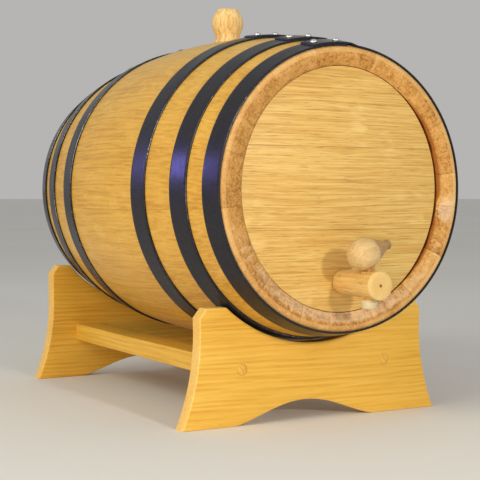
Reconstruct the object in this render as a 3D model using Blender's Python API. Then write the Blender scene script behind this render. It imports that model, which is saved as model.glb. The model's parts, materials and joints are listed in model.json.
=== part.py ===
# Oak ageing barrel lying on a two-board cradle: coopered staves and heads, six lapped hoops,
# a turned bung, and a wooden spigot with a turning key. Millimetres below, metres in the scene.
# The barrel's axis runs along Y with the spigot at -Y; Z is up and the feet stand on Z = 0.
import math

import bmesh
import bpy
from mathutils import Matrix, Vector

MM = 0.001
GAP = 0.3  # clearance kept between neighbouring pieces

# Barrel
HALF_LENGTH = 208.0
BILGE_RADIUS = 151.0
END_RADIUS = 127.5
AXIS_HEIGHT = 214.0
STAVE_THICK = 20.0
FACETS = 48  # the barrel's round, in equal facets
BUNG_STAVE = 4  # widths are in facets
STAVES_RIGHT = (3, 3, 3, 2, 3, 3, 3, 3, 2)  # from the bung stave round by +X to the bottom
STAVES_LEFT = (3, 3, 2, 3, 3, 2, 3)  # and round by -X
CHIME_CHAMFER = 2.5
CHIME_FLAT_RADIUS = 118.0  # where the flat end grain turns into the inner bevel
HEAD_RECESS = 5.0

# Heads
HEAD_THICK = 14.0
HEAD_RADIUS = 104.8  # across; the head is a little taller than it is wide
HEAD_OVAL = 1.055
CROZE_DEPTH = 4.0
CROZE_BACK = 4.0  # from the head's outer face to its tongue
TONGUE = 5.6
HEAD_JOINTS = (-36.0, 38.0)  # heights of the two joints between a head's three boards

# Hoops: the near and far edge of each, from the middle of the barrel
HOOPS = {"bilge": (74.0, 98.0), "quarter": (139.0, 163.0), "head": (185.5, 207.3)}
HOOP_THICK = 1.6
HOOP_FACETS = 60
HOOP_FIT = 0.2  # clearance over the staves
LAP_ANGLE = {"bilge": 14.0, "quarter": 15.0, "head": 16.0}  # degrees of overlap
LAP_GAP = 0.15  # between the two layers
LAP_RAMP = (355.0, 358.5)  # degrees round the hoop over which its end rises onto its start
# Middle of each lap at the front and at the rear, in degrees from +X, so 90 is the top
LAP_CENTRE = {"bilge": (94.0, 92.0), "quarter": (96.0, 104.0), "head": (97.0, 96.0)}
RIVET_SPREAD = {"bilge": 3.8, "quarter": 4.2, "head": 5.1}  # degrees either side of the middle
RIVET_HEAD = 3.4
RIVET_RISE = 2.2
RIVET_SHANK = 1.5

# Bung
BUNG_Y = 10.0  # behind the middle
BUNG_PROFILE = (
    (118.0, 10.6),
    (151.3, 12.2),
    (151.4, 14.0),
    (154.0, 13.8),
    (157.5, 12.7),
    (160.5, 13.0),
    (164.0, 14.3),
    (168.5, 15.9),
    (173.0, 16.4),
    (177.5, 15.7),
    (181.5, 14.0),
    (184.3, 12.2),
    (186.4, 10.9),
    (187.0, 9.9),
)

# Spigot: distances forward from the head's face, and radii, along its level axis
SPIGOT_DROP = 83.0  # below the barrel's axis
SPIGOT_INSIDE = 36.0
SPIGOT_OUT = 59.0
SPIGOT_KEY_OUT = 42.0
SPIGOT_BORE = 3.5
KEY_TOP_RADIUS = 7.8
KEY_END_RADIUS = 6.9
KEY_BELOW = 21.0
KEY_ABOVE = 11.9
TENON_RADIUS = 4.6
TENON_LENGTH = 11.0
HANDLE_RISE = 28.7  # where the handle's axis crosses the key's, above the spigot's axis
HANDLE_TILT = 18.0
HANDLE_PROFILE = (
    (-20.7, 3.6),
    (-19.6, 6.8),
    (-17.0, 10.2),
    (-12.6, 13.1),
    (-7.0, 14.0),
    (-1.5, 13.2),
    (3.5, 11.2),
    (8.0, 8.8),
    (12.0, 6.7),
    (15.0, 5.2),
    (17.5, 4.3),
    (20.5, 4.4),
    (21.8, 3.4),
)

# Stand
BOARD_THICK = 15.0
FRONT_BOARD = -160.0  # outer face of each board, along the barrel
REAR_BOARD = 210.0
FOOT_HALF = 139.0
WAIST_HALF = 121.5
WAIST_HEIGHT = 85.0
BOARD_HEIGHT = 108.0
REAR_RISE = 10.0  # the rear board's horns reach this much further up the barrel
HORN_CHAMFER = (7.0, 9.0)
ARCH_HALF = 76.0
ARCH_RISE = 19.0
ARCH_SHIFT = -10.0  # both arches are cut a little off centre
CRADLE_CLEAR = 0.9  # between a hoop and the cradle that it lies in
EDGE_EASE = 1.6
RAIL_X = 78.5
RAIL_HEIGHT = 51.0
RAIL_SECTION = (30.0, 18.0)
SHARP_ANGLE = 35.0
SCREW_HEAD_DEPTH = 6.0
PLUG_RADIUS = 5.0

# Finishes: colour, roughness, metallic
FINISHES = {
    "stave_oak": ((0.56, 0.33, 0.12), 0.42, 0.0),
    "head_oak": ((0.64, 0.41, 0.17), 0.4, 0.0),
    "stand_wood": ((0.62, 0.36, 0.12), 0.45, 0.0),
    "turned_wood": ((0.6, 0.38, 0.16), 0.5, 0.0),
    "hoop_paint": ((0.012, 0.012, 0.018), 0.3, 0.6),
    "rivet_steel": ((0.5, 0.5, 0.52), 0.35, 1.0),
}

# The spigot's face and the rear board's face bound the whole; the origin is midway between.
Y_MIDDLE = (REAR_BOARD - (HALF_LENGTH - HEAD_RECESS + SPIGOT_OUT)) / 2
KEY_Y = -(HALF_LENGTH - HEAD_RECESS + SPIGOT_KEY_OUT)
# Each frame is an empty that its pieces hang from: the stand's on the floor, the barrel's at
# its middle, the bung's on the barrel's top, and the key's on its own axis.
FRAMES = {
    "stand": (0.0, 0.0, -AXIS_HEIGHT),
    "barrel": (0.0, 0.0, 0.0),
    "bung_pull": (0.0, BUNG_Y, BILGE_RADIUS),
    "key_turn": (0.0, KEY_Y, -SPIGOT_DROP),
}


def wood_radius(y):
    """Outer radius of the staves at a distance y from the middle."""
    return BILGE_RADIUS - (BILGE_RADIUS - END_RADIUS) * (y / HALF_LENGTH) ** 2


def make_finishes():
    for name, (colour, roughness, metallic) in FINISHES.items():
        material = bpy.data.materials.new(name)
        material.use_nodes = True
        shader = material.node_tree.nodes["Principled BSDF"]
        shader.inputs["Base Color"].default_value = (*colour, 1.0)
        shader.inputs["Roughness"].default_value = roughness
        shader.inputs["Metallic"].default_value = metallic


def make_frames():
    for name, (x, y, z) in FRAMES.items():
        empty = bpy.data.objects.new(name, None)
        empty.location = (x * MM, (y - Y_MIDDLE) * MM, (z + AXIS_HEIGHT) * MM)
        bpy.context.scene.collection.objects.link(empty)


def add_object(name, frame, finish, rings, place=None):
    """A closed solid through equal rings of points, placed in its frame by a matrix."""
    work = bmesh.new()
    loops = []
    for ring in rings:
        loops.append([work.verts.new(Vector(p) * MM) for p in ring])
    work.faces.new(loops[0])
    work.faces.new(loops[-1])
    for low, high in zip(loops, loops[1:]):
        for i in range(len(low)):
            j = (i + 1) % len(low)
            work.faces.new((low[i], low[j], high[j], high[i]))
    bmesh.ops.recalc_face_normals(work, faces=work.faces)
    mesh = bpy.data.meshes.new(name)
    work.to_mesh(mesh)
    work.free()
    mesh.shade_smooth()
    mesh.set_sharp_from_angle(angle=math.radians(SHARP_ANGLE))
    if finish:
        mesh.materials.append(bpy.data.materials[finish])
    obj = bpy.data.objects.new(name, mesh)
    bpy.context.scene.collection.objects.link(obj)
    obj.parent = bpy.data.objects[frame]
    if place is not None:
        place = place.copy()
        place.translation *= MM
        obj.matrix_local = place
    return obj


def turned(profile, segments):
    """Rings of a turned piece about Z, from a profile of (along, radius)."""
    rings = []
    for along, radius in profile:
        angles = [2 * math.pi * i / segments for i in range(segments)]
        rings.append([(radius * math.cos(a), radius * math.sin(a), along) for a in angles])
    return rings


def facing(x, y, z, sign):
    """Carries +Z onto +Y or -Y, by sign, from a point."""
    turn = Matrix.Rotation(math.radians(-90.0 * sign), 4, "X")
    return Matrix.Translation((x, y, z)) @ turn


def cut(obj, name, rings, place=None):
    """Cuts a closed shape, given in the object's own frame, out of an object."""
    tool = add_object(name, obj.parent.name, None, rings, place)
    tool.hide_render = True
    tool.display_type = "WIRE"
    modifier = obj.modifiers.new(name, "BOOLEAN")
    modifier.operation = "DIFFERENCE"
    modifier.solver = "EXACT"
    modifier.object = tool


def head_reach(angle):
    """Radius of the oval head's edge at an angle up from level."""
    return HEAD_RADIUS / math.hypot(math.cos(angle), math.sin(angle) / HEAD_OVAL)


def stave_profile(angle):
    """The stave's section along the barrel, as (y, radius): outside, end, bevel, croze, inside."""
    outer = []
    steps = 12
    reach = HALF_LENGTH - CHIME_CHAMFER
    for i in range(steps + 1):
        y = -reach + 2 * reach * i / steps
        outer.append((y, wood_radius(y)))
    face = HALF_LENGTH - HEAD_RECESS
    inner_end = head_reach(angle) + 1.0
    croze_front = face - CROZE_BACK + GAP
    croze_back = face - CROZE_BACK - TONGUE - 0.4 - GAP
    end = [
        (HALF_LENGTH, END_RADIUS - CHIME_CHAMFER),
        (HALF_LENGTH, CHIME_FLAT_RADIUS),
        (face, inner_end),
        (croze_front, inner_end),
        (croze_front, inner_end + CROZE_DEPTH),
        (croze_back, inner_end + CROZE_DEPTH),
        (croze_back, inner_end),
    ]
    inside = []
    reach = croze_back - 22.0
    for i in range(7):
        y = reach - 2 * reach * i / 6
        inside.append((y, wood_radius(y) - STAVE_THICK))
    mirrored = [(-y, r) for y, r in reversed(end)]
    return outer + end + inside + mirrored


def add_stave(name, first, last):
    """A stave between two facet lines, counted from the top towards +X."""
    rings = []
    for k in range(first, last + 1):
        base = math.radians(90.0) - 2 * math.pi * k / FACETS
        ring = []
        for y, radius in stave_profile(base):
            a = base
            if k == first:
                a -= GAP / 2 / radius
            if k == last:
                a += GAP / 2 / radius
            ring.append((radius * math.cos(a), y, radius * math.sin(a)))
        rings.append(ring)
    return add_object(name, "barrel", "stave_oak", rings)


def head_ring(y, radius, low, high):
    """Outline of one head board at a depth y: its arcs, cut off at the joints below and above."""
    steps = 12
    points = []
    tall = radius * HEAD_OVAL
    start = math.asin(low / tall) if low is not None else -math.pi / 2
    stop = math.asin(high / tall) if high is not None else math.pi / 2
    for i in range(steps + 1):
        a = start + (stop - start) * i / steps
        points.append((radius * math.cos(a), y, tall * math.sin(a)))
    for i in range(steps + 1):
        a = stop + (start - stop) * i / steps
        points.append((-radius * math.cos(a), y, tall * math.sin(a)))
    if low is None:
        points.pop()
    if high is None:
        points.pop(steps + 1)
    return points


def add_head_board(name, side, low, high):
    """One board of a head. Its edge steps down to a tongue that sits in the croze."""
    face = HALF_LENGTH - HEAD_RECESS
    tongue = HEAD_RADIUS + CROZE_DEPTH
    steps = (
        (face, HEAD_RADIUS - 1.2),
        (face - 1.2, HEAD_RADIUS),
        (face - CROZE_BACK, HEAD_RADIUS),
        (face - CROZE_BACK - 0.4, tongue),
        (face - CROZE_BACK - TONGUE, tongue),
        (face - CROZE_BACK - TONGUE - 0.4, HEAD_RADIUS),
        (face - HEAD_THICK, HEAD_RADIUS - 0.8),
    )
    rings = [head_ring(side * y, radius, low, high) for y, radius in steps]
    return add_object(name, "barrel", "head_oak", rings)


def lap_centre(kind, side):
    return LAP_CENTRE[kind][0 if side < 0 else 1]


def add_hoop(name, kind, side):
    """A steel strip bent round the barrel, its last stretch lapped over its first, and riveted."""
    near, far = HOOPS[kind]
    lap = LAP_ANGLE[kind]
    begin = lap_centre(kind, side) - lap / 2
    step = 360.0 / HOOP_FACETS
    lift = HOOP_THICK + LAP_GAP
    foot, crest = LAP_RAMP
    turns = [i * step for i in range(HOOP_FACETS) if i * step < foot - 2.0] + [foot, crest]
    turns += [360.0 + lap * i / 3 for i in range(4)]
    clear = 1.0 / math.cos(math.radians(step / 2))
    rings = []
    for turn in turns:
        a = math.radians(begin + turn)
        rise = lift * min(1.0, max(0.0, (turn - foot) / (crest - foot)))
        ring = []
        for y, out in ((near, 0.0), (near, HOOP_THICK), (far, HOOP_THICK), (far, 0.0)):
            radius = (wood_radius(y) + HOOP_FIT) * clear + rise + out
            ring.append((radius * math.cos(a), side * y, radius * math.sin(a)))
        rings.append(ring)
    return add_object(name, "barrel", "hoop_paint", rings)


def rivet_matrix(kind, side, offset):
    """Carries +Z to the outward normal of the hoop, at a rivet on its middle line."""
    near, far = HOOPS[kind]
    middle = (near + far) / 2
    a = math.radians(lap_centre(kind, side) + offset)
    clear = 1.0 / math.cos(math.radians(180.0 / HOOP_FACETS))
    inner = ((wood_radius(near) + wood_radius(far)) / 2 + HOOP_FIT) * clear
    slope = math.atan2(wood_radius(near) - wood_radius(far), far - near)
    place = Matrix.Translation((inner * math.cos(a), side * middle, inner * math.sin(a)))
    around = Matrix.Rotation(a, 4, "Y").inverted()
    lean = Matrix.Rotation(math.radians(90.0), 4, "Y")
    tip = Matrix.Rotation(-side * slope, 4, "X")
    return place @ around @ lean @ tip


def add_rivets(hoop, kind, side, end):
    """Two dome-headed rivets through both layers of the lap, and the holes that they sit in."""
    top = 2 * HOOP_THICK + LAP_GAP
    dome = (
        (0.35, RIVET_SHANK),
        (top + GAP, RIVET_SHANK),
        (top + GAP, RIVET_HEAD),
        (top + GAP + 0.5 * RIVET_RISE, RIVET_HEAD * 0.87),
        (top + GAP + 0.87 * RIVET_RISE, RIVET_HEAD * 0.5),
        (top + GAP + RIVET_RISE, RIVET_HEAD * 0.15),
    )
    spread = RIVET_SPREAD[kind]
    for number, offset in ((1, spread), (2, -spread)):
        matrix = rivet_matrix(kind, side, offset)
        hole = ((-2.0, RIVET_SHANK + GAP), (top + 3.0, RIVET_SHANK + GAP))
        rivet = "rivet_{}_{}_{}".format(end, kind, number)
        cut(hoop, "{}_hole_{}".format(hoop.name, number), turned(hole, 10), matrix)
        add_object(rivet, "barrel", "rivet_steel", turned(dome, 10), matrix)


def board_outline(cradle_radius, height):
    """Outline of an end board as (x, z) about the floor: feet, flared sides, horns and cradle."""
    right = [(FOOT_HALF, 0.0)]
    for i in range(1, 9):
        z = WAIST_HEIGHT * i / 8
        flare = (1.0 - z / WAIST_HEIGHT) ** 2.1
        right.append((WAIST_HALF + (FOOT_HALF - WAIST_HALF) * flare, z))
    right.append((WAIST_HALF + 0.4, height - HORN_CHAMFER[1]))
    right.append((WAIST_HALF + 0.4 - HORN_CHAMFER[0], height))
    drop = AXIS_HEIGHT - height
    start = math.acos(drop / cradle_radius)
    for i in range(13):
        a = start * (1.0 - i / 12)
        x = cradle_radius * math.sin(a)
        right.append((x, AXIS_HEIGHT - cradle_radius * math.cos(a)))
    left = [(-x, z) for x, z in reversed(right[:-1])]
    arch = [(ARCH_SHIFT - ARCH_HALF, 0.0)]
    for i in range(1, 14):
        x = -ARCH_HALF + 2 * ARCH_HALF * i / 14
        rise = ARCH_RISE * math.cos(math.pi * x / 2 / ARCH_HALF) ** 1.4
        arch.append((ARCH_SHIFT + x, rise))
    arch.append((ARCH_SHIFT + ARCH_HALF, 0.0))
    return right + left + arch


def inset(outline, distance):
    """The outline drawn in by a distance, with mitred corners."""
    count = len(outline)
    area = 0.0
    for i in range(count):
        (x0, z0), (x1, z1) = outline[i], outline[(i + 1) % count]
        area += x0 * z1 - x1 * z0
    side = 1.0 if area > 0 else -1.0
    result = []
    for i in range(count):
        here = Vector(outline[i])
        before = (here - Vector(outline[i - 1])).normalized()
        after = (Vector(outline[(i + 1) % count]) - here).normalized()
        first = Vector((-before.y, before.x)) * side
        second = Vector((-after.y, after.x)) * side
        mitre = (first + second) / max(0.6, 1.0 + first.dot(second))
        result.append(tuple(here + mitre * distance))
    return result


def add_board(name, outer_face, side, cradle_radius, height):
    """An end board standing across the barrel, its edges eased, bored for two rail screws."""
    outline = board_outline(cradle_radius, height)
    eased = inset(outline, EDGE_EASE)
    rings = []
    for depth, line in (
        (0.0, eased),
        (EDGE_EASE, outline),
        (BOARD_THICK - EDGE_EASE, outline),
        (BOARD_THICK, eased),
    ):
        y = outer_face - side * depth
        rings.append([(x, y, z) for x, z in line])
    board = add_object(name, "stand", "stand_wood", rings)
    # A wide bore holds the plug over the screw's head, and a narrow one its shank.
    bore = (
        (-5.0, PLUG_RADIUS + GAP),
        (SCREW_HEAD_DEPTH + 3.3, PLUG_RADIUS + GAP),
        (SCREW_HEAD_DEPTH + 3.3, 2.3),
        (BOARD_THICK + 5.0, 2.3),
    )
    for x in (-RAIL_X, RAIL_X):
        place = facing(x, outer_face, RAIL_HEIGHT, -side)
        cut(board, "{}_bore_{:+.0f}".format(name, x), turned(bore, 20), place)


def add_fixings(end, outer_face, side):
    """A wood plug and a countersunk screw for each rail at one board."""
    plug = ((0.2, PLUG_RADIUS - 0.5), (0.5, PLUG_RADIUS), (SCREW_HEAD_DEPTH, PLUG_RADIUS))
    screw = (
        (SCREW_HEAD_DEPTH + GAP, 4.2),
        (SCREW_HEAD_DEPTH + 3.0, 4.2),
        (SCREW_HEAD_DEPTH + 3.0, 2.0),
        (BOARD_THICK + 24.0, 2.0),
        (BOARD_THICK + 27.0, 0.5),
    )
    for word, x in (("left", -RAIL_X), ("right", RAIL_X)):
        place = facing(x, outer_face, RAIL_HEIGHT, -side)
        plug_name = "plug_{}_{}".format(end, word)
        screw_name = "screw_{}_{}".format(end, word)
        add_object(plug_name, "stand", "stand_wood", turned(plug, 16), place)
        add_object(screw_name, "stand", "rivet_steel", turned(screw, 10), place)


def add_rail(name, x):
    """A rail between the two boards, its long edges eased, drilled at both ends for a screw."""
    wide, tall = RAIL_SECTION[0] / 2, RAIL_SECTION[1] / 2
    ease = 1.5
    section = (
        (wide - ease, -tall),
        (wide, -tall + ease),
        (wide, tall - ease),
        (wide - ease, tall),
        (ease - wide, tall),
        (-wide, tall - ease),
        (-wide, ease - tall),
        (ease - wide, -tall),
    )
    front = FRONT_BOARD + BOARD_THICK + GAP
    rear = REAR_BOARD - BOARD_THICK - GAP
    rings = []
    for y in (front, rear):
        rings.append([(x + a, y, RAIL_HEIGHT + b) for a, b in section])
    rail = add_object(name, "stand", "stand_wood", rings)
    pilot = ((-5.0, 2.3), (30.0, 2.3))
    for word, y, side in (("front", front, 1.0), ("rear", rear, -1.0)):
        place = facing(x, y, RAIL_HEIGHT, side)
        cut(rail, "{}_pilot_{}".format(name, word), turned(pilot, 10), place)


def build_barrel():
    first = -BUNG_STAVE // 2
    bung_stave = add_stave("stave_bung", first, first + BUNG_STAVE)
    hole = ((110.0, 10.2 + GAP), (151.0, 12.2 + GAP), (170.0, 13.1 + GAP))
    cut(bung_stave, "bung_hole", turned(hole, 24), Matrix.Translation((0.0, BUNG_Y, 0.0)))
    line = BUNG_STAVE // 2
    for number, width in enumerate(STAVES_RIGHT, 1):
        add_stave("stave_right_{}".format(number), line, line + width)
        line += width
    line = -BUNG_STAVE // 2
    for number, width in enumerate(STAVES_LEFT, 1):
        add_stave("stave_left_{}".format(number), line - width, line)
        line -= width
    low, high = HEAD_JOINTS
    for end, side in (("front", -1.0), ("rear", 1.0)):
        bottom = add_head_board("head_{}_bottom".format(end), side, None, low - GAP / 2)
        add_head_board("head_{}_middle".format(end), side, low + GAP / 2, high - GAP / 2)
        add_head_board("head_{}_top".format(end), side, high + GAP / 2, None)
        if end == "front":
            cut(bottom, "spigot_hole", turned(spigot_taper(GAP), 24), spigot_place())
        for kind in HOOPS:
            hoop = add_hoop("hoop_{}_{}".format(end, kind), kind, side)
            add_rivets(hoop, kind, side, end)


def spigot_place():
    """Carries +Z forward along the spigot, from the head's face."""
    return facing(0.0, HEAD_RECESS - HALF_LENGTH, -SPIGOT_DROP, -1.0)


def spigot_taper(extra):
    """The part of the spigot that is driven into the head, opened out by a clearance."""
    return ((-SPIGOT_INSIDE - 4.0, 8.3 + extra), (GAP, 10.3 + extra), (6.0, 10.6 + extra))


def build_bung():
    rings = turned([(z - BILGE_RADIUS, radius) for z, radius in BUNG_PROFILE], 24)
    add_object("bung", "bung_pull", "turned_wood", rings)


def build_spigot():
    body = (
        (-SPIGOT_INSIDE, 7.4),
        (-SPIGOT_INSIDE + 1.2, 8.5),
        (GAP, 10.3),
        (GAP + 0.2, 10.8),
        (3.0, 11.0),
        (SPIGOT_OUT - 3.0, 12.9),
        (SPIGOT_OUT - 0.9, 12.6),
        (SPIGOT_OUT, 11.7),
        (SPIGOT_OUT, 1.2),
        (SPIGOT_OUT - 2.0, 0.2),
    )
    spigot = add_object("spigot_body", "barrel", "turned_wood", turned(body, 28), spigot_place())
    bore = ((-SPIGOT_INSIDE - 5.0, SPIGOT_BORE), (SPIGOT_KEY_OUT - 2.0, SPIGOT_BORE))
    cut(spigot, "spigot_bore", turned(bore, 14), spigot_place())
    grow = (KEY_TOP_RADIUS - KEY_END_RADIUS) / (KEY_ABOVE + KEY_BELOW)
    socket = (
        (-20.0, KEY_END_RADIUS + grow * (KEY_BELOW - 20.0) + GAP),
        (20.0, KEY_END_RADIUS + grow * (KEY_BELOW + 20.0) + GAP),
    )
    socket_place = Matrix.Translation((0.0, KEY_Y, -SPIGOT_DROP))
    cut(spigot, "key_socket", turned(socket, 24), socket_place)

    plug = (
        (-KEY_BELOW, KEY_END_RADIUS - 0.9),
        (-KEY_BELOW + 0.9, KEY_END_RADIUS),
        (KEY_ABOVE, KEY_TOP_RADIUS),
        (KEY_ABOVE, TENON_RADIUS),
        (KEY_ABOVE + TENON_LENGTH, TENON_RADIUS),
    )
    key = add_object("spigot_key", "key_turn", "turned_wood", turned(plug, 24))
    # The passage enters at the side and leaves through the key's lower end.
    down = ((-KEY_BELOW - 5.0, SPIGOT_BORE), (SPIGOT_BORE * 0.8, SPIGOT_BORE))
    cut(key, "key_outlet", turned(down, 14))
    side = ((-0.5, SPIGOT_BORE - 0.2), (15.0, SPIGOT_BORE - 0.2))
    cut(key, "key_port", turned(side, 14), Matrix.Rotation(math.radians(-90.0), 4, "Y"))

    lean = Matrix.Rotation(math.radians(90.0 - HANDLE_TILT), 4, "Y")
    handle_place = Matrix.Translation((0.0, 0.0, HANDLE_RISE)) @ lean
    rings = turned(HANDLE_PROFILE, 24)
    handle = add_object("spigot_handle", "key_turn", "turned_wood", rings, handle_place)
    mortise = (
        (KEY_ABOVE - 5.0, TENON_RADIUS + GAP),
        (KEY_ABOVE + TENON_LENGTH + GAP, TENON_RADIUS + GAP),
    )
    cut(handle, "handle_mortise", turned(mortise, 18))


def build_stand():
    bearing = HOOP_THICK + CRADLE_CLEAR
    for end, face, side in (("front", FRONT_BOARD, -1.0), ("rear", REAR_BOARD, 1.0)):
        inner_face = abs(face - side * BOARD_THICK)
        cradle = wood_radius(inner_face) + bearing
        height = BOARD_HEIGHT
        if end == "rear":
            height += REAR_RISE + wood_radius(abs(FRONT_BOARD) - BOARD_THICK) + bearing - cradle
        add_board("board_{}".format(end), face, side, cradle, height)
        add_fixings(end, face, side)
    add_rail("rail_left", -RAIL_X)
    add_rail("rail_right", RAIL_X)


for old in list(bpy.data.objects):
    bpy.data.objects.remove(old)
make_finishes()
make_frames()
build_barrel()
build_bung()
build_spigot()
build_stand()
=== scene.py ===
# Looks of the small oak ageing barrel on its cradle stand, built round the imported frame.
# Lengths are in millimetres until a mesh is made, and in metres in the scene.
import json
import math

import bmesh
import bpy
import numpy as np
from mathutils import Matrix, Vector, noise

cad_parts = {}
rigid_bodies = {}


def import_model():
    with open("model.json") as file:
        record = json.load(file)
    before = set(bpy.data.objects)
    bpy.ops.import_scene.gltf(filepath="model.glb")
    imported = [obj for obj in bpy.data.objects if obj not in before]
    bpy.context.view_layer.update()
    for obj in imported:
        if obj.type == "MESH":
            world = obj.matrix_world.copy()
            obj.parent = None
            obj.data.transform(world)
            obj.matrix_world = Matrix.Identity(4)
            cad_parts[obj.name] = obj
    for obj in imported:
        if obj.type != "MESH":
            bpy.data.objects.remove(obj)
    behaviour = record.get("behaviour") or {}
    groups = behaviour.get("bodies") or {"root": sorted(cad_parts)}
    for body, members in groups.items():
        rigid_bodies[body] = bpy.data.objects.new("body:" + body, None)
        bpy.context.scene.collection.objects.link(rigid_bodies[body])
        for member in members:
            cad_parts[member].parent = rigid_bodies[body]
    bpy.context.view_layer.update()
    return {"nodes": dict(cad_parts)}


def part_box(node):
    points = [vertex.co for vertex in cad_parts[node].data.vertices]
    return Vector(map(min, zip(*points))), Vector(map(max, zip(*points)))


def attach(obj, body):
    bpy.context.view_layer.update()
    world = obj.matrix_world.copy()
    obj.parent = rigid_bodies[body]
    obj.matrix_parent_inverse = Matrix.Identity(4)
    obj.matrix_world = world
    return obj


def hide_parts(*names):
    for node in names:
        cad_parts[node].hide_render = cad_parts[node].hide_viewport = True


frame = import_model()
MM = 0.001

# Barrel, in its own frame: Y along the axis, the origin at its middle
HALF_LENGTH = 208.0
BILGE_RADIUS = 151.0
END_RADIUS = 127.5
AXIS_HEIGHT = 214.0
FACET = 7.5  # degrees; staves are whole numbers of these wide
STAVES_RIGHT = (3, 3, 3, 2, 3, 3, 3, 3, 2)
STAVES_LEFT = (3, 3, 2, 3, 3, 2, 3)
HEAD_RADIUS = 104.8
HEAD_OVAL = 1.055  # taller than wide
HEAD_FACE = 203.0
HEAD_JOINTS = (-36.0, 38.0)
HOOPS = {"bilge": (74.0, 98.0), "quarter": (139.0, 163.0), "head": (185.5, 207.3)}
HOOP_THICK = 1.6
HOOP_FIT = 0.2
LAP_GAP = 0.15
LAP_RAMP = (355.0, 358.5)  # degrees round the hoop over which its end rises onto its start
LAP_ANGLE = {"bilge": 14.0, "quarter": 15.0, "head": 16.0}
LAP_CENTRE = {"bilge": (94.0, 92.0), "quarter": (96.0, 104.0), "head": (97.0, 96.0)}  # front, rear
RIVET_SPREAD = {"bilge": 3.8, "quarter": 4.2, "head": 5.1}
RIVET_HEAD = 3.4
RIVET_RISE = 2.2
HOOP_CLEAR = 1.0014  # the frame's hoops are polygons about this circle

# Bung and spigot
BUNG_Y = 10.0
SPIGOT_DROP = 83.0
SPIGOT_OUT = 59.0
KEY_OUT = 42.0
KEY_Y = -HEAD_FACE - KEY_OUT
KEY_BELOW = 21.0
KEY_ABOVE = 11.9
SPIGOT_BORE = 3.5
HANDLE_RISE = 28.7
HANDLE_TILT = 18.0

# Stand
BOARD_THICK = 15.0
BOARDS = {"front": (-160.0, -1.0), "rear": (210.0, 1.0)}
FOOT_HALF = 139.0
WAIST_HALF = 121.5
WAIST_HEIGHT = 85.0
BOARD_HEIGHT = 108.0
REAR_RISE = 10.0
HORN_CHAMFER = (7.0, 9.0)
ARCH_HALF = 76.0
ARCH_RISE = 19.0
ARCH_SHIFT = -10.0
CRADLE_CLEAR = 0.9
RAIL_X = 78.5
RAIL_HEIGHT = 51.0
RAIL_HALF = (15.0, 9.0)
PLUG_RADIUS = 5.0

low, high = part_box("stave_bung")
CENTRE = Vector((0.0, (low.y + high.y) / 2, AXIS_HEIGHT * MM))
FLOOR = Vector((0.0, CENTRE.y, 0.0))
random = np.random.default_rng(7)


def wood_radius(y):
    return BILGE_RADIUS - (BILGE_RADIUS - END_RADIUS) * (y / HALF_LENGTH) ** 2


def head_reach(angle):
    """Radius of the oval head's edge at an angle up from level."""
    return HEAD_RADIUS / math.hypot(math.cos(angle), math.sin(angle) / HEAD_OVAL)


# ---------------------------------------------------------------- materials


def add(tree, kind, inputs=None, **settings):
    """A shader node with its settings, its inputs set or linked."""
    node = tree.nodes.new("ShaderNode" + kind)
    for name, value in settings.items():
        setattr(node, name, value)
    for name, value in (inputs or {}).items():
        target = node.inputs[name]
        if isinstance(value, bpy.types.NodeSocket):
            tree.links.new(value, target)
        else:
            target.default_value = value
    return node


def calc(tree, operation, a, b=0.0, clamp=False):
    node = add(tree, "Math", {0: a, 1: b}, operation=operation, use_clamp=clamp)
    return node.outputs[0]


def scaled(tree, vector, scale):
    return add(tree, "VectorMath", {0: vector, 1: scale}, operation="MULTIPLY").outputs[0]


def blob(tree, vector, scale, detail=2.0, roughness=0.5, distortion=0.0):
    """Noise over a vector stretched by a scale on each axis, as a value about 0.5."""
    inputs = {
        "Vector": scaled(tree, vector, scale),
        "Scale": 1.0,
        "Detail": detail,
        "Roughness": roughness,
        "Distortion": distortion,
    }
    return add(tree, "TexNoise", inputs).outputs["Fac"]


def span(tree, value, low, high, to_low=0.0, to_high=1.0):
    inputs = {0: value, 1: low, 2: high, 3: to_low, 4: to_high}
    return add(tree, "MapRange", inputs, interpolation_type="SMOOTHSTEP").outputs[0]


def ramp(tree, value, stops):
    node = add(tree, "ValToRGB", {"Fac": value})
    elements = node.color_ramp.elements
    while len(elements) < len(stops):
        elements.new(0.5)
    for element, (position, colour) in zip(elements, stops):
        element.position = position
        element.color = (*colour, 1.0)
    return node.outputs["Color"]


def blend(tree, factor, a, b, mode="MIX"):
    node = tree.nodes.new("ShaderNodeMix")
    node.data_type = "RGBA"
    node.blend_type = mode
    for index, value in ((0, factor), (6, a), (7, b)):
        if isinstance(value, bpy.types.NodeSocket):
            tree.links.new(value, node.inputs[index])
        elif index:
            node.inputs[index].default_value = (*value, 1.0)
        else:
            node.inputs[index].default_value = value
    return node.outputs[2]


def new_material(name):
    material = bpy.data.materials.new(name)
    material.use_nodes = True
    tree = material.node_tree
    return material, tree, tree.nodes["Principled BSDF"]


def attribute(tree, name, output):
    return add(tree, "Attribute", attribute_name=name).outputs[output]


def set_surface(tree, shader, colour, rough, height=None, strength=0.3, distance=0.0002):
    tree.links.new(colour, shader.inputs["Base Color"])
    tree.links.new(rough, shader.inputs["Roughness"])
    if height is not None:
        inputs = {"Strength": strength, "Distance": distance, "Height": height}
        bump = add(tree, "Bump", inputs)
        tree.links.new(bump.outputs[0], shader.inputs["Normal"])


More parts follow.
